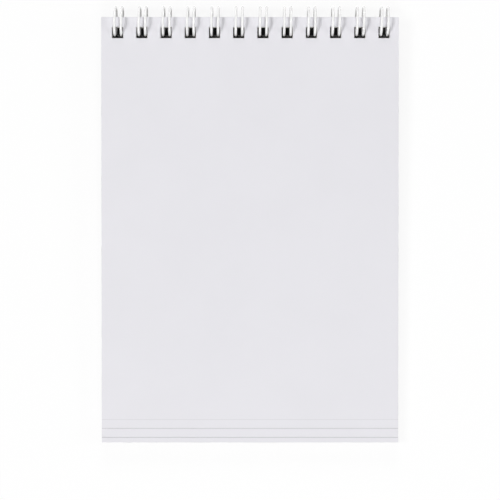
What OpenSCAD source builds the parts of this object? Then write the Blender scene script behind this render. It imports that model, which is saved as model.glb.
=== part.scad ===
// Pocket notebook, bound along its top edge with twin-loop wire.
// It lies closed on its back cover. Each piece is drawn in the book's own
// frame first: x across, y = 0 at the bound edge with the leaves towards -y,
// z = 0 at the outer face of the back cover. lying() then sets the book down.

/* [Covers] */
// Width of the covers
cover_w = 104; // [70:1:220]
// Height of the covers, from the bound edge to the free edge
cover_h = 149; // [90:1:310]
// Thickness of the front cover
front_t = 0.4; // [0.25:0.05:0.8]
// Thickness of the back board
back_t = 0.5; // [0.3:0.05:0.9]

/* [Pages] */
// Number of leaves
leaves = 40; // [20:1:50]
// Thickness of one leaf
leaf_t = 0.09; // [0.07:0.01:0.11]
// How far the leaves stay inside the covers on each side
page_inset = 0.5; // [0.2:0.1:1.5]
// Air between the leaves and each cover
cover_air = 0.15; // [0.1:0.01:0.3]

/* [Punched holes] */
// Distance from one hole to the next, three to the inch
hole_pitch = 8.467; // [7.5:0.001:12]
// Width of a hole
hole_w = 4; // [3.8:0.1:5]
// Height of a hole
hole_h = 4; // [3.6:0.1:5]
// Strip of card between the holes and the bound edge
edge_strip = 3.4; // [3:0.1:4.5]
// Least card left beside the first and the last hole
side_strip = 3; // [2:0.5:8]
// How far the row of holes sits right of the middle
row_shift = 0.3; // [-0.5:0.1:0.5]

/* [Wire] */
// Thickness of the coated wire
wire_d = 0.9; // [0.7:0.05:1]
// Spacing of the two wires of one loop, centre to centre
twin_gap = 2.3; // [2:0.1:2.6]
// How far the loops stand out past the bound edge
loop_out = 4; // [3.6:0.1:6]
// Free space between a wire and the far wall of its hole
hole_play = 0.6; // [0.4:0.1:0.9]
// Radius of the bends from a loop into its links, at the wire's centre
link_bend = 1; // [0.9:0.05:1.3]
// Air between a loop's closed tip and the line of the links
tip_air = 0.3; // [0.25:0.05:0.5]
// Air between the links and the faces beside them
link_air = 0.15; // [0.1:0.05:0.3]

/* [Hidden] */
$fn = 64;
// Cutters run past the faces that they cut
cut_past = 1;
// A tip starts this deep inside its legs, and is this much thinner
seat = 0.02;

// Levels of the stack, upwards from the outer face of the back cover
page_low = back_t + cover_air;
page_t = leaves * leaf_t;
front_low = page_low + page_t + cover_air;
stack_t = front_low + front_t;

// Row of holes
holes = floor((cover_w - 2 * side_strip - hole_w) / hole_pitch) + 1;
hole_far = edge_strip + hole_h;
function hole_x(i) = row_shift + (i - (holes - 1) / 2) * hole_pitch;

// Ring that each wire follows, seen from the side
ring_r = (loop_out + hole_far - hole_play) / 2;
bend_r = ring_r - wire_d / 2;
ring_y = loop_out - ring_r;
ring_z = stack_t / 2;
twin_r = twin_gap / 2;

// The links lie between the last leaf and the back cover. Angles on the
// ring start at the outermost point and rise over the top of the book
link_z = back_t + link_air + wire_d / 2;
link_angle = 180 + asin((ring_z - link_z) / bend_r);
root_angle = link_angle + 2 * atan(link_bend / 2 / bend_r);
tip_angle = link_angle - 2 * atan((twin_r + tip_air) / 2 / bend_r);
link_len = hole_pitch - twin_gap - 2 * link_bend;

// Channel in the last leaves, which lift over the links
link_y = ring_y + bend_r * cos(link_angle);
channel_w = wire_d + 2 * link_air + link_bend / 2;
channel_top = link_z + wire_d / 2 + link_air;

// The book lies on its loops and on the free edge of its back cover
lie_tilt = asin(ring_r / norm([cover_h + ring_y, ring_z])) - atan(ring_z / (cover_h + ring_y));
lie_up = cover_h * sin(lie_tilt);
far_y = -cover_h * cos(lie_tilt) - stack_t * sin(lie_tilt);
near_y = ring_y * cos(lie_tilt) - ring_z * sin(lie_tilt) + ring_r;
lie_y = -(far_y + near_y) / 2;

// Sets a piece from the book's own frame down on the surface
module lying() {
    translate([0, lie_y, lie_up]) rotate([lie_tilt, 0, 0]) children();
}

// A card or block of leaves, set in from the covers' outline, from z = low
module slab(low, thick, inset) {
    translate([-cover_w / 2 + inset, -cover_h + inset, low])
        cube([cover_w - 2 * inset, cover_h - 2 * inset, thick]);
}

// The row of square holes, as cutters
module hole_row(low, thick) {
    for (i = [0 : holes - 1])
        translate([hole_x(i) - hole_w / 2, -hole_far, low - cut_past])
            cube([hole_w, hole_h, thick + 2 * cut_past]);
}

module punched(low, thick, inset) {
    difference() {
        slab(low, thick, inset);
        hole_row(low, thick);
    }
}

module front_cover() {
    color("whitesmoke") lying() punched(front_low, front_t, 0);
}

module back_cover() {
    color("dimgray") lying() punched(0, back_t, 0);
}

module page_block() {
    color("ivory") lying() difference() {
        punched(page_low, page_t, page_inset);
        translate([-cover_w / 2 - cut_past, link_y - channel_w / 2, page_low - cut_past])
            cube([cover_w + 2 * cut_past, channel_w, channel_top - page_low + cut_past]);
    }
}

// Stands children at an angle on the ring: their z runs along the wire
module on_ring(angle) {
    translate([0, ring_y, ring_z]) rotate([angle, 0, 0])
        translate([0, bend_r, 0]) children();
}

// A bent length of wire in the x-z plane, round the origin
module bend(radius, start, turn, thick = wire_d) {
    rotate([90, 0, 0]) rotate([0, 0, start])
        rotate_extrude(angle = turn) translate([radius, 0]) circle(d = thick);
}

// One leg of a loop, from its root under the book round to its tip
module leg() {
    translate([0, ring_y, ring_z]) rotate([0, 90, 0])
        rotate([0, 0, root_angle + 90])
            rotate_extrude(angle = 360 + tip_angle - root_angle)
                translate([bend_r, 0]) circle(d = wire_d);
}

// The round tip that joins the two legs of a loop
module tip() {
    on_ring(tip_angle) translate([0, 0, -seat]) bend(twin_r, 0, 180, wire_d - seat);
}

// A link from one loop to the next: a bend, a straight and a bend
module link() {
    on_ring(root_angle) {
        translate([link_bend, 0, 0]) bend(link_bend, 180, 90);
        translate([link_bend, 0, -link_bend])
            rotate([0, 90, 0]) cylinder(d = wire_d, h = link_len);
        translate([link_bend + link_len, 0, 0]) bend(link_bend, 270, 90);
    }
}

module wire_binding() {
    color("white") lying() union() {
        for (i = [0 : holes - 1]) translate([hole_x(i), 0, 0]) {
            translate([-twin_r, 0, 0]) leg();
            translate([twin_r, 0, 0]) leg();
            tip();
        }
        for (i = [0 : holes - 2]) translate([hole_x(i) + twin_r, 0, 0]) link();
    }
}

back_cover();
page_block();
wire_binding();
front_cover();
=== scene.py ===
# %% [markdown]
# # A pocket notebook with a twin-loop wire
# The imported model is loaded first. It is the fixed frame that every piece is
# fitted to: one millimetre there is 0.001 here, and no part of it is moved.

# %% Load the frame
import math
import random

import bmesh
import bpy
from mathutils import Matrix, Vector


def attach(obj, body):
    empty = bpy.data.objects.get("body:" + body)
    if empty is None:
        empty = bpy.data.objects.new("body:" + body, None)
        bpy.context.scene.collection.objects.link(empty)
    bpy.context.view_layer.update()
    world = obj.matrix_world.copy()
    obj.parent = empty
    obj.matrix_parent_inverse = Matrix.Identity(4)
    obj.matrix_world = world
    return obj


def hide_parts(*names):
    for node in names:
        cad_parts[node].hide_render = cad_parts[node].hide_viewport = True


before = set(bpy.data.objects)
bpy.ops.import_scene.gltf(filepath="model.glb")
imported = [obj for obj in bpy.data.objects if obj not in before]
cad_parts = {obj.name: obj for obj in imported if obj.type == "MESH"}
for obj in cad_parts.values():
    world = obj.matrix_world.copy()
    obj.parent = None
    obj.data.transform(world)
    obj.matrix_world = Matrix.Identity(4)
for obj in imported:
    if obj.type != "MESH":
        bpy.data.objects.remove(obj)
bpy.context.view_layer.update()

# %% [markdown]
# ## The sizes of the real book
# A notebook of this kind is a stack: a board, a block of leaves and a front
# cover, all punched with the same row of square holes. The sizes are those of
# the model, so that each new piece falls exactly on the piece it stands for.

# %% Driving sizes, in metres
MM = 0.001
COVER_W, COVER_H = 104 * MM, 149 * MM
FRONT_T, BACK_T = 0.4 * MM, 0.5 * MM
LEAVES, LEAF_T = 40, 0.09 * MM
PAGE_INSET, COVER_AIR = 0.5 * MM, 0.15 * MM
HOLES, HOLE_PITCH, ROW_SHIFT = 12, 8.467 * MM, 0.3 * MM
HOLE_W, HOLE_H, EDGE_STRIP = 4 * MM, 4 * MM, 3.4 * MM
WIRE_D, TWIN_GAP, LOOP_OUT = 0.9 * MM, 2.3 * MM, 4 * MM
HOLE_PLAY, LINK_BEND, TIP_AIR, LINK_AIR = 0.6 * MM, 1 * MM, 0.3 * MM, 0.15 * MM

# %% Sizes that follow from them
PAGE_LOW = BACK_T + COVER_AIR
PAGE_T = LEAVES * LEAF_T
FRONT_LOW = PAGE_LOW + PAGE_T + COVER_AIR
STACK_T = FRONT_LOW + FRONT_T
HOLE_FAR = EDGE_STRIP + HOLE_H
HOLE_X = [ROW_SHIFT + (i - (HOLES - 1) / 2) * HOLE_PITCH for i in range(HOLES)]
RING_R = (LOOP_OUT + HOLE_FAR - HOLE_PLAY) / 2
BEND_R = RING_R - WIRE_D / 2
RING_Y, RING_Z = LOOP_OUT - RING_R, STACK_T / 2
TWIN_R = TWIN_GAP / 2
LINK_Z = BACK_T + LINK_AIR + WIRE_D / 2
LINK_ANGLE = math.pi + math.asin((RING_Z - LINK_Z) / BEND_R)
ROOT_ANGLE = LINK_ANGLE + 2 * math.atan(LINK_BEND / 2 / BEND_R)
TIP_ANGLE = LINK_ANGLE - 2 * math.atan((TWIN_R + TIP_AIR) / 2 / BEND_R)
LINK_LEN = HOLE_PITCH - TWIN_GAP - 2 * LINK_BEND

# %% [markdown]
# The book doesn't lie flat. Its loops are rounder than the stack is thick, so
# it rests on them and on the free edge of the board, tilted by about a degree.
# Each piece is modelled in the book's own frame and then laid down by LIE.

# %% How the book lies
REACH = COVER_H + RING_Y
TILT = math.asin(RING_R / math.hypot(REACH, RING_Z)) - math.atan(RING_Z / REACH)
FAR_Y = -COVER_H * math.cos(TILT) - STACK_T * math.sin(TILT)
NEAR_Y = RING_Y * math.cos(TILT) - RING_Z * math.sin(TILT) + RING_R
LIE = Matrix.Translation((0, -(FAR_Y + NEAR_Y) / 2, COVER_H * math.sin(TILT)))
LIE = LIE @ Matrix.Rotation(TILT, 4, "X")
print("tilt", round(math.degrees(TILT), 3), "degrees")

# %% [markdown]
# ## Helpers
# An operator acts on whatever is selected, so a helper clears the selection
# first. Another applies a modifier, and a third lays a finished piece down and
# leaves its object at the origin with its place in its mesh.


# %% Helper functions
def clear_selection():
    if bpy.context.object and bpy.context.object.mode != "OBJECT":
        bpy.ops.object.mode_set(mode="OBJECT")
    bpy.ops.object.select_all(action="DESELECT")


def take(piece):
    clear_selection()
    piece.select_set(True)
    bpy.context.view_layer.objects.active = piece


def apply_modifier(piece, kind, **settings):
    take(piece)
    modifier = piece.modifiers.new(kind.lower(), kind)
    for name, value in settings.items():
        setattr(modifier, name, value)
    bpy.ops.object.modifier_apply(modifier=modifier.name)


def lay_down(piece):
    take(piece)
    piece.matrix_world = LIE @ piece.matrix_world
    bpy.ops.object.transform_apply(location=True, rotation=True, scale=True)


def join(pieces, name):
    clear_selection()
    for piece in pieces:
        piece.select_set(True)
    bpy.context.view_layer.objects.active = pieces[0]
    if len(pieces) > 1:
        bpy.ops.object.join()
    pieces[0].name = name
    return pieces[0]


def report(piece):
    size = [round(d / MM, 2) for d in piece.dimensions]
    print(piece.name, size, "mm,", len(piece.data.polygons), "faces")


# %% [markdown]
# ## Camera
# The photograph looks straight down on the closed book. Its frame is 500
# pixels wide, the covers are 297 of them, and the middle of the covers sits
# 19.75 pixels above the middle of the frame.

# %% Camera
FRAME_PX, COVER_PX = 500, 297
COVER_UP_PX = 250 - 230.25
PIXEL = COVER_W / COVER_PX
VIEW_FROM = 0.62
camera_data = bpy.data.cameras.new("camera")
camera_data.sensor_width = 36
camera_data.lens = camera_data.sensor_width * VIEW_FROM / (FRAME_PX * PIXEL)
camera = bpy.data.objects.new("camera", camera_data)
bpy.context.collection.objects.link(camera)
cover_middle = LIE @ Vector((0, -COVER_H / 2, STACK_T))
camera.location = cover_middle + Vector((0, -COVER_UP_PX * PIXEL, VIEW_FROM))
bpy.context.scene.camera = camera
print("lens", round(camera_data.lens, 1), "mm")

# %% [markdown]
# ## Punched card
# A cover is one sheet of card with a row of square holes. A plane is bisected
# along the sides of the holes, the faces inside them are deleted, and Solidify
# gives the sheet its thickness. That keeps every wall square, where cutting
# with a second shape would leave long thin triangles. A fine bevel softens the
# cut edges, as a guillotine and a punch leave them.

# %% Punched sheet
LINES_X = [x + side * HOLE_W / 2 for x in HOLE_X for side in (-1, 1)]
LINES_Y = [-EDGE_STRIP, -HOLE_FAR]


def in_hole(x, y):
    if not -HOLE_FAR < y < -EDGE_STRIP:
        return False
    return any(abs(x - middle) < HOLE_W / 2 for middle in HOLE_X)


def punched_sheet(name, low, thick, inset, more_lines_y=()):
    clear_selection()
    bpy.ops.mesh.primitive_plane_add(size=1, location=(0, -COVER_H / 2, low))
    sheet = bpy.context.object
    sheet.name = name
    sheet.scale = (COVER_W - 2 * inset, COVER_H - 2 * inset, 1)
    bpy.ops.object.transform_apply(location=True, rotation=True, scale=True)
    bpy.ops.object.mode_set(mode="EDIT")
    for x in LINES_X:
        bpy.ops.mesh.select_all(action="SELECT")
        bpy.ops.mesh.bisect(plane_co=(x, 0, low), plane_no=(1, 0, 0))
    for y in list(LINES_Y) + list(more_lines_y):
        bpy.ops.mesh.select_all(action="SELECT")
        bpy.ops.mesh.bisect(plane_co=(0, y, low), plane_no=(0, 1, 0))
    bpy.ops.mesh.select_all(action="DESELECT")
    mesh = bmesh.from_edit_mesh(sheet.data)
    for face in mesh.faces:
        middle = face.calc_center_median()
        face.select_set(in_hole(middle.x, middle.y))
    bmesh.update_edit_mesh(sheet.data)
    bpy.ops.mesh.delete(type="FACE")
    bpy.ops.object.mode_set(mode="OBJECT")
    apply_modifier(sheet, "SOLIDIFY", thickness=thick, offset=1)
    return sheet


# %% [markdown]
# ## Front cover and back board
# The two covers differ in thickness and material, and in three faint lines that cross the
# front cover near its free edge in the photograph, the lowest one darkest. They are pressed
# into the card here, each from three bisecting lines whose middle one is pushed down. An
# attribute marks it for painted shade, and the material darkens the card along each line.

# %% Front cover
CARD_EDGE = 0.05 * MM
GROOVES = ((8.1 * MM, 0.31), (4.95 * MM, 0.86), (1.8 * MM, 1.0))
GROOVE_W, GROOVE_DEPTH = 0.34 * MM, 0.05 * MM
groove_lines = [
    -COVER_H + up + side * GROOVE_W / 2 for up, strength in GROOVES for side in (-1, 0, 1)
]
front = punched_sheet("front_cover_card", FRONT_LOW, FRONT_T, 0, groove_lines)
apply_modifier(front, "BEVEL", width=CARD_EDGE, segments=2, limit_method="ANGLE")
# This attribute marks the pressed lines for painted shade.
groove_painted_shade = front.data.attributes.new("groove_painted_shade", "FLOAT", "POINT")
pressed = 0
for vertex in front.data.vertices:
    if vertex.co.z < STACK_T - 0.001 * MM:
        continue
    for up, strength in GROOVES:
        if abs(vertex.co.y + COVER_H - up) < GROOVE_W / 4:
            vertex.co.z -= GROOVE_DEPTH * strength
            groove_painted_shade.data[vertex.index].value = strength
            pressed += 1
print("vertices pressed in", pressed)
lay_down(front)
report(front)

# %% Back board
back = punched_sheet("back_cover_board", 0, BACK_T, 0)
apply_modifier(back, "BEVEL", width=CARD_EDGE, segments=2, limit_method="ANGLE")
lay_down(back)
report(back)

# %% [markdown]
# ## Leaves
# A block of paper shows its leaves along the cut edges. Forty real sheets with
# a hair of air between them give that for less work than a painted pattern,
# and they hold up from every side. Each sheet is jogged by about a tenth of a
# millimetre, and takes light a little differently from the next, as in a real
# stack. One punched sheet is made and copied. Near the binding the lower leaves
# lift over the links of the wire, so the stack is pressed together there: each
# vertex rises by its share of the lift, which is full for the lowest leaf.

# %% Leaf sizes
SHEET_T = 0.075 * MM
JOG = 0.13 * MM
LIFT = LINK_Z + WIRE_D / 2 + LINK_AIR - PAGE_LOW
LIFT_FROM, LIFT_FULL = -34 * MM, -9 * MM
LIFT_STEPS = 10
random.seed(7)


# %% A share that starts and ends gently
def eased(share):
    share = min(1, max(0, share))
    return share * share * (3 - 2 * share)


# %% Block of leaves
lift_lines = [
    LIFT_FROM + (LIFT_FULL - LIFT_FROM) * k / LIFT_STEPS for k in range(LIFT_STEPS + 1)
]
first_leaf = punched_sheet("leaf", PAGE_LOW, SHEET_T, PAGE_INSET, lift_lines)
leaf_pieces = [first_leaf]
for k in range(1, LEAVES):
    leaf = first_leaf.copy()
    leaf.data = first_leaf.data.copy()
    bpy.context.collection.objects.link(leaf)
    jog = Vector((random.uniform(-JOG, JOG), random.uniform(-JOG, JOG), k * LEAF_T))
    leaf.data.transform(Matrix.Translation(jog))
    leaf_pieces.append(leaf)
for leaf in leaf_pieces:
    tone = leaf.data.attributes.new("sheet_tone", "FLOAT", "FACE")
    value = random.random()
    for item in tone.data:
        item.value = value
leaves = join(leaf_pieces, "page_block_leaves")
page_high = PAGE_LOW + PAGE_T
# This attribute marks the walls of the holes for painted shade.
wall = leaves.data.attributes.new("hole_painted_shade", "FLOAT", "FACE")
for face in leaves.data.polygons:
    x, y = face.center.x, face.center.y
    inside = abs(x) < HOLE_X[-1] + HOLE_W and -HOLE_FAR - JOG < y < -EDGE_STRIP + JOG
    wall.data[face.index].value = float(inside and abs(face.normal.z) < 0.5)
for vertex in leaves.data.vertices:
    share = eased((vertex.co.y - LIFT_FROM) / (LIFT_FULL - LIFT_FROM))
    vertex.co.z += LIFT * share * (page_high - vertex.co.z) / PAGE_T
lay_down(leaves)
report(leaves)

# %% [markdown]
# ## Twin-loop wire
# The binding is one length of wire, bent into a comb. Each loop has two legs
# that run round the ring together and meet in a round tip, and a straight link
# joins it to the next. A curve with a round bevel would give the same wire,
# but spins keep every bend a true circle and the seams between them shared.
# One loop is spun from a circle: round the ring, round the tip, back round the
# ring, and then through a bend, a straight and a bend.

# %% Ring that the wire follows
PROFILE_POINTS = 16
LEG_STEPS, TIP_STEPS, BEND_STEPS = 72, 12, 6
SWEEP = 2 * math.pi + TIP_ANGLE - ROOT_ANGLE


def on_ring(angle, x=0.0, along=0.0):
    y = RING_Y + BEND_R * math.cos(angle) - along * math.sin(angle)
    z = RING_Z + BEND_R * math.sin(angle) + along * math.cos(angle)
    return Vector((x, y, z))


def outward(angle):
    return Vector((0, math.cos(angle), math.sin(angle)))


# %% One loop and its link
clear_selection()
bpy.ops.mesh.primitive_circle_add(
    vertices=PROFILE_POINTS,
    radius=WIRE_D / 2,
    location=on_ring(ROOT_ANGLE, -TWIN_R),
    rotation=(ROOT_ANGLE, 0, 0),
)
loop = bpy.context.object
bpy.ops.object.transform_apply(location=True, rotation=True, scale=True)
bpy.ops.object.mode_set(mode="EDIT")
bpy.ops.mesh.select_all(action="SELECT")
ring_centre = (0, RING_Y, RING_Z)


def spin(angle, centre, axis, steps):
    # The operator turns clockwise for a positive angle
    bpy.ops.mesh.spin(steps=steps, angle=-angle, center=centre, axis=axis)


spin(SWEEP, ring_centre, (1, 0, 0), LEG_STEPS)
spin(math.pi, on_ring(TIP_ANGLE), outward(TIP_ANGLE), TIP_STEPS)
spin(-SWEEP, ring_centre, (1, 0, 0), LEG_STEPS)
spin(-math.pi / 2, on_ring(ROOT_ANGLE, TWIN_R + LINK_BEND), outward(ROOT_ANGLE), BEND_STEPS)
bpy.ops.mesh.extrude_region_move(TRANSFORM_OT_translate={"value": (LINK_LEN, 0, 0)})
spin(
    -math.pi / 2,
    on_ring(ROOT_ANGLE, TWIN_R + LINK_BEND + LINK_LEN),
    outward(ROOT_ANGLE),
    BEND_STEPS,
)
bpy.ops.object.mode_set(mode="OBJECT")
loop.name = "loop"
report(loop)

# %% [markdown]
# Eleven copies follow the first loop, one hole apart. The last link has
# nowhere to go, so it is cut off. Where a link meets the next loop the two end
# rings share their place: merging them makes the comb one closed skin, and a
# count of its open edges shows that it is.

# %% The whole wire
loops = [loop]
for i in range(1, HOLES):
    copy = loop.copy()
    copy.data = loop.data.copy()
    bpy.context.collection.objects.link(copy)
    copy.data.transform(Matrix.Translation((HOLE_X[i], 0, 0)))
    loops.append(copy)
loop.data.transform(Matrix.Translation((HOLE_X[0], 0, 0)))
wire = join(loops, "wire_binding_coated")
bpy.ops.object.mode_set(mode="EDIT")
bpy.ops.mesh.select_all(action="DESELECT")
mesh = bmesh.from_edit_mesh(wire.data)
link_from = HOLE_X[-1] + TWIN_R + WIRE_D / 2 + 0.02 * MM
for vertex in mesh.verts:
    vertex.select_set(vertex.co.x > link_from)
bmesh.update_edit_mesh(wire.data)
bpy.ops.mesh.delete(type="VERT")
bpy.ops.mesh.select_all(action="SELECT")
bpy.ops.mesh.remove_doubles(threshold=0.005 * MM)
open_ends = []
for end_x in (HOLE_X[0] - TWIN_R, HOLE_X[-1] + TWIN_R):
    bpy.ops.mesh.select_all(action="DESELECT")
    bpy.ops.mesh.select_non_manifold()
    mesh = bmesh.from_edit_mesh(wire.data)
    for vertex in mesh.verts:
        if abs(vertex.co.x - end_x) > WIRE_D:
            vertex.select_set(False)
    mesh.select_flush(False)
    open_ends.append(sum(edge.select for edge in mesh.edges))
    bmesh.update_edit_mesh(wire.data)
    bpy.ops.mesh.edge_face_add()
bpy.ops.mesh.select_all(action="SELECT")
bpy.ops.mesh.normals_make_consistent(inside=False)
mesh = bmesh.from_edit_mesh(wire.data)
still_open = sum(not edge.is_manifold for edge in mesh.edges)
print("edges of the two open ends", open_ends, "and open after filling", still_open)
bpy.ops.object.mode_set(mode="OBJECT")

# %% [markdown]
# The photograph shows the loops leaning a little to the right as they rise from their
# holes, the outer ones most, because the wire is closed a touch off square. The lean grows
# smoothly along the row, so the links stay joined. Far down in the stack, where the loops
# end in round tips, the photograph is almost black. An attribute marks that stretch of
# wire, and its material darkens it there with painted shade.

# %% Lean, and painted shade low in the stack
LEAN, LEAN_MORE = math.tan(math.radians(0.8)), math.tan(math.radians(0.9))
LEAN_FROM, LEAN_SIDE = -5.4 * MM, 0.08 * MM
LEAN_LOW, LEAN_HIGH = 21 * MM, 46 * MM
DEEP_TOP, DEEP_BOTTOM, DEEP_FADE = 3.9 * MM, 0.3 * MM, 1.1 * MM
# This attribute is painted shade: it darkens the wire low in the stack.
deep = wire.data.attributes.new("deep", "FLOAT", "POINT")
for vertex in wire.data.vertices:
    x, y, z = vertex.co
    under = eased((DEEP_TOP - z) / DEEP_FADE) * eased((z - DEEP_BOTTOM) / DEEP_FADE)
    deep.data[vertex.index].value = under if y < -EDGE_STRIP else 0
    outer = eased((abs(x) - LEAN_LOW) / (LEAN_HIGH - LEAN_LOW))
    vertex.co.x += LEAN_SIDE + (LEAN + LEAN_MORE * outer) * (y - LEAN_FROM)
lay_down(wire)
bpy.ops.object.shade_smooth_by_angle(angle=math.radians(40))
report(wire)

# %% [markdown]
# ## Materials
# Nothing on a white notebook is one flat white. Card has a faint tooth and
# cloud, paper is warmer and rougher, board shows fibres, and the nylon coat on
# the wire is glossy with a slight orange peel. All patterns are read in object
# coordinates, so they stay on the piece when it moves.


# %% Material helpers
def new_material(name, colour, roughness):
    material = bpy.data.materials.new(name)
    material.use_nodes = True
    nodes = material.node_tree.nodes
    shader = nodes["Principled BSDF"]
    shader.inputs["Base Color"].default_value = (*colour, 1)
    shader.inputs["Roughness"].default_value = roughness
    place = nodes.new("ShaderNodeTexCoord")
    return material, nodes, material.node_tree.links, shader, place.outputs["Object"]


def noise(nodes, links, place, size, stretch=(1, 1, 1), detail=4.0):
    mapping = nodes.new("ShaderNodeMapping")
    mapping.inputs["Scale"].default_value = stretch
    links.new(place, mapping.inputs["Vector"])
    pattern = nodes.new("ShaderNodeTexNoise")
    pattern.inputs["Scale"].default_value = 1 / size
    pattern.inputs["Detail"].default_value = detail
    links.new(mapping.outputs["Vector"], pattern.inputs["Vector"])
    return pattern.outputs["Fac"]


def tint(nodes, links, fac, dark, light, low=0.35, high=0.65):
    ramp = nodes.new("ShaderNodeValToRGB")
    ramp.color_ramp.elements[0].position = low
    ramp.color_ramp.elements[0].color = (*dark, 1)
    ramp.color_ramp.elements[1].position = high
    ramp.color_ramp.elements[1].color = (*light, 1)
    links.new(fac, ramp.inputs["Fac"])
    return ramp.outputs["Color"]


def bump(nodes, links, shader, fac, depth, strength=1.0):
    node = nodes.new("ShaderNodeBump")
    node.inputs["Distance"].default_value = depth
    node.inputs["Strength"].default_value = strength
    links.new(fac, node.inputs["Height"])
    links.new(node.outputs["Normal"], shader.inputs["Normal"])


def dress(piece, material):
    piece.data.materials.clear()
    piece.data.materials.append(material)


# %% [markdown]
# ### White card
# The cover is smooth white card, a shade bluer than the paper. A flat colour would look
# like plastic, so two noises are laid over it. A wide one clouds the colour by less than
# one per cent, and a fine one gives the surface its tooth through bump. Along the pressed
# lines, where their attribute says so, the colour is darkened with painted shade.

# %% White card
CARD = (0.79, 0.783, 0.82)
# Painted shade along the pressed lines: the card colour times this factor.
GROOVE_PAINTED_SHADE = 0.55
card, nodes, links, shader, place = new_material("white_card", CARD, 0.5)
cloud = noise(nodes, links, place, 18 * MM, detail=3)
clouded = tint(nodes, links, cloud, [c * 0.993 for c in CARD], [c * 1.006 for c in CARD])
groove_shade_attribute = nodes.new("ShaderNodeAttribute")
groove_shade_attribute.attribute_name = "groove_painted_shade"
lined = nodes.new("ShaderNodeMix")
lined.data_type = "RGBA"
lined.inputs["B"].default_value = (*[c * GROOVE_PAINTED_SHADE for c in CARD], 1)
links.new(groove_shade_attribute.outputs["Fac"], lined.inputs["Factor"])
links.new(clouded, lined.inputs["A"])
links.new(lined.outputs["Result"], shader.inputs["Base Color"])
tooth = noise(nodes, links, place, 0.35 * MM, detail=6)
bump(nodes, links, shader, tooth, 0.012 * MM, 0.6)
shader.inputs["Specular IOR Level"].default_value = 0.35
dress(front, card)

# %% [markdown]
# ### Dark board
# The back is pressed grey board, almost black. Its fibres lie mostly one way,
# so the noise is stretched along one axis before it is used, once for the
# colour and once for the bump. A high roughness keeps it dull.

# %% Dark board
BOARD = (0.022, 0.022, 0.025)
board, nodes, links, shader, place = new_material("dark_board", BOARD, 0.7)
fibres = noise(nodes, links, place, 0.6 * MM, stretch=(1, 0.35, 1), detail=8)
fibre_colour = tint(nodes, links, fibres, BOARD, (0.045, 0.044, 0.046), 0.4, 0.75)
links.new(fibre_colour, shader.inputs["Base Color"])
bump(nodes, links, shader, fibres, 0.03 * MM, 0.7)
dress(back, board)

# %% [markdown]
# ### Writing paper
# Uncoated paper is warmer and rougher than the card. Held to the light it is a little
# uneven, which the noise gives, and each sheet has its own tone from the attribute that was
# made with the block. The walls of the holes, marked by a second attribute, get painted
# shade and are much darker than the sheets.

# %% Writing paper
# The second colour is painted shade, for the walls of the holes.
PAPER, HOLE_PAINTED_SHADE = (0.84, 0.83, 0.8), (0.02, 0.02, 0.02)
DARKEST_SHEET = 0.8
paper, nodes, links, shader, place = new_material("writing_paper", PAPER, 0.85)
formation = noise(nodes, links, place, 1.4 * MM, detail=5)
formed = tint(nodes, links, formation, [c * 0.975 for c in PAPER], PAPER)
tones = nodes.new("ShaderNodeAttribute")
tones.attribute_name = "sheet_tone"
tone_range = nodes.new("ShaderNodeMapRange")
tone_range.inputs["To Min"].default_value = DARKEST_SHEET
tone_range.inputs["To Max"].default_value = 1.0
links.new(tones.outputs["Fac"], tone_range.inputs["Value"])
shade = nodes.new("ShaderNodeMix")
shade.data_type = "RGBA"
shade.blend_type = "MULTIPLY"
shade.inputs["Factor"].default_value = 1.0
links.new(formed, shade.inputs["A"])
links.new(tone_range.outputs["Result"], shade.inputs["B"])
sheet_colour = shade.outputs["Result"]
walls = nodes.new("ShaderNodeAttribute")
walls.attribute_name = "hole_painted_shade"
mix = nodes.new("ShaderNodeMix")
mix.data_type = "RGBA"
mix.inputs["B"].default_value = (*HOLE_PAINTED_SHADE, 1)
links.new(walls.outputs["Fac"], mix.inputs["Factor"])
links.new(sheet_colour, mix.inputs["A"])
links.new(mix.outputs["Result"], shader.inputs["Base Color"])
bump(nodes, links, shader, formation, 0.01 * MM, 0.5)
dress(leaves, paper)

# %% [markdown]
# ### Coated wire
# Binding wire is steel in a coat of nylon. The coat is a smooth glossy white,
# so the roughness is low and the shader's own coat layer adds a clear second
# gloss. A small noise dents it a little, as a dipped coat is never quite even.
# Where the wire runs low in the stack, the attribute darkens it with painted shade.

# %% Coated wire
# The second colour is painted shade, for the wire low in the stack.
COAT, COAT_PAINTED_SHADE = (0.96, 0.96, 0.955), (0.12, 0.12, 0.12)
coat, nodes, links, shader, place = new_material("white_wire_coat", COAT, 0.22)
peel = noise(nodes, links, place, 0.5 * MM, detail=2)
coat_colour = tint(nodes, links, peel, [c * 0.98 for c in COAT], COAT)
depth = nodes.new("ShaderNodeAttribute")
depth.attribute_name = "deep"
darker = nodes.new("ShaderNodeMix")
darker.data_type = "RGBA"
darker.inputs["B"].default_value = (*COAT_PAINTED_SHADE, 1)
links.new(depth.outputs["Fac"], darker.inputs["Factor"])
links.new(coat_colour, darker.inputs["A"])
links.new(darker.outputs["Result"], shader.inputs["Base Color"])
bump(nodes, links, shader, peel, 0.006 * MM, 0.4)
shader.inputs["Coat Weight"].default_value = 0.5
shader.inputs["Coat Roughness"].default_value = 0.08
dress(wire, coat)

# %% [markdown]
# ## What moves with what
# Each new piece rides on the body that carries its node and stands for that node, whose
# imported part is hidden.

# %% Bodies
for piece, body, node, slot in (
    (front, "front", "front_cover", "cover_white"),
    (back, "back", "back_cover", "board_back"),
    (leaves, "leaves", "page_block", "leaves"),
    (wire, "leaves", "wire_binding", "wire_white"),
):
    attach(piece, body)
    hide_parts(node)

# %% [markdown]
# ## Floor
# A white studio floor glows a little, as if it were lit from everywhere. Here the kind of
# ray that arrives decides it: the camera, a reflection and a clear piece see white, and no
# light is added to the book. Over a patch as large as the book, right under it, the glow
# stops and the floor is painted nearly black as shade. Seen from a low angle and through
# the holes it reads as dark shade, which the photograph shows almost black.


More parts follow.
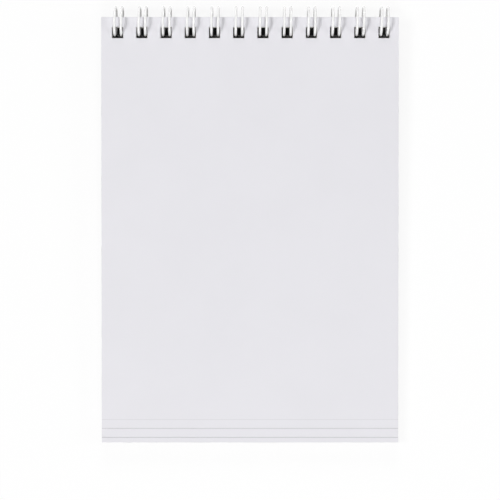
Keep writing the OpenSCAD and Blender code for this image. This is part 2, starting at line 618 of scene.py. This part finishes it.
# %% Rays that see the background
def seen_rays(nodes, links):
    path = nodes.new("ShaderNodeLightPath")
    seen = path.outputs["Is Camera Ray"]
    for ray in ("Is Glossy Ray", "Is Transmission Ray"):
        both = nodes.new("ShaderNodeMath")
        both.operation = "ADD"
        both.use_clamp = True
        links.new(seen, both.inputs[0])
        links.new(path.outputs[ray], both.inputs[1])
        seen = both.outputs["Value"]
    return seen


# %% Floor
# The second colour is painted shade, for the floor under the book.
FLOOR, UNDER_BOOK_PAINTED_SHADE = (0.97, 0.97, 0.97), (0.04, 0.04, 0.04)
GLOW = 0.88
UNDER_FROM, UNDER_TO = 0.985, 1.0
clear_selection()
bpy.ops.mesh.primitive_plane_add(size=6, location=(0, 0, 0))
floor = bpy.context.object
floor.name = "floor"
floor_white, nodes, links, shader, place = new_material("floor_white", FLOOR, 0.9)
shader.inputs["Specular IOR Level"].default_value = 0.0

# %% Where the floor glows, and where it is painted dark as shade
print_middle = LIE @ Vector((0, -COVER_H / 2, 0))
from_middle = nodes.new("ShaderNodeVectorMath")
from_middle.operation = "SUBTRACT"
from_middle.inputs[1].default_value = (0, print_middle.y, 0)
links.new(place, from_middle.inputs[0])
distance = nodes.new("ShaderNodeVectorMath")
distance.operation = "ABSOLUTE"
links.new(from_middle.outputs["Vector"], distance.inputs[0])
in_halves = nodes.new("ShaderNodeVectorMath")
in_halves.operation = "DIVIDE"
in_halves.inputs[1].default_value = (COVER_W / 2, COVER_H / 2, 1)
links.new(distance.outputs["Vector"], in_halves.inputs[0])
axes = nodes.new("ShaderNodeSeparateXYZ")
links.new(in_halves.outputs["Vector"], axes.inputs["Vector"])
farther = nodes.new("ShaderNodeMath")
farther.operation = "MAXIMUM"
links.new(axes.outputs["X"], farther.inputs[0])
links.new(axes.outputs["Y"], farther.inputs[1])
outside = nodes.new("ShaderNodeMapRange")
outside.inputs["From Min"].default_value = UNDER_FROM
outside.inputs["From Max"].default_value = UNDER_TO
links.new(farther.outputs["Value"], outside.inputs["Value"])

# %% Floor finish
floor_colour = nodes.new("ShaderNodeMix")
floor_colour.data_type = "RGBA"
floor_colour.inputs["A"].default_value = (*UNDER_BOOK_PAINTED_SHADE, 1)
floor_colour.inputs["B"].default_value = (*FLOOR, 1)
links.new(outside.outputs["Result"], floor_colour.inputs["Factor"])
links.new(floor_colour.outputs["Result"], shader.inputs["Base Color"])
glow = nodes.new("ShaderNodeMath")
glow.operation = "MULTIPLY"
glow.inputs[1].default_value = GLOW
links.new(outside.outputs["Result"], glow.inputs[0])
share = nodes.new("ShaderNodeMath")
share.operation = "MULTIPLY"
links.new(glow.outputs["Value"], share.inputs[0])
links.new(seen_rays(nodes, links), share.inputs[1])
white = nodes.new("ShaderNodeEmission")
mix = nodes.new("ShaderNodeMixShader")
links.new(share.outputs["Value"], mix.inputs["Fac"])
links.new(shader.outputs["BSDF"], mix.inputs[1])
links.new(white.outputs["Emission"], mix.inputs[2])
links.new(mix.outputs["Shader"], nodes["Material Output"].inputs["Surface"])
dress(floor, floor_white)

# %% [markdown]
# ## Light
# The key light stands on the left, so the loops throw short shadows to the
# right as in the photograph. No lamp stands overhead and the world adds
# little, so the bottom of each hole stays dark. Three weaker lamps fill in
# from the front, the back and the right. A softbox is an area lamp, and its
# helper takes a direction, so each lamp stays on a circle round the book.


# %% Lamps
def softbox(name, azimuth, elevation, power, size, distance=1.4):
    lamp_data = bpy.data.lights.new(name, "AREA")
    lamp_data.shape = "DISK"
    lamp_data.size = size
    lamp_data.energy = power
    lamp = bpy.data.objects.new(name, lamp_data)
    bpy.context.collection.objects.link(lamp)
    a, e = math.radians(azimuth), math.radians(elevation)
    way = Vector((math.sin(a) * math.cos(e), -math.cos(a) * math.cos(e), math.sin(e)))
    lamp.location = way * distance
    lamp.rotation_mode = "QUATERNION"
    lamp.rotation_quaternion = way.to_track_quat("Z", "Y")


softbox("key_left", -92, 56, 34, 0.85, distance=2.8)
softbox("fill_front", 0, 30, 9.4, 0.6)
softbox("fill_back", 180, 28, 7, 0.6)
softbox("fill_right", 90, 28, 4.8, 0.6)

# %% World
WORLD_LIGHT = 0.12
world = bpy.data.worlds.new("studio")
bpy.context.scene.world = world
world.use_nodes = True
nodes, links = world.node_tree.nodes, world.node_tree.links
background = nodes["Background"]
background.inputs["Color"].default_value = (1, 1, 1, 1)
level = nodes.new("ShaderNodeMapRange")
level.inputs["To Min"].default_value = WORLD_LIGHT
level.inputs["To Max"].default_value = 1.0
links.new(seen_rays(nodes, links), level.inputs["Value"])
links.new(level.outputs["Result"], background.inputs["Strength"])
bpy.context.scene.view_settings.view_transform = "Standard"
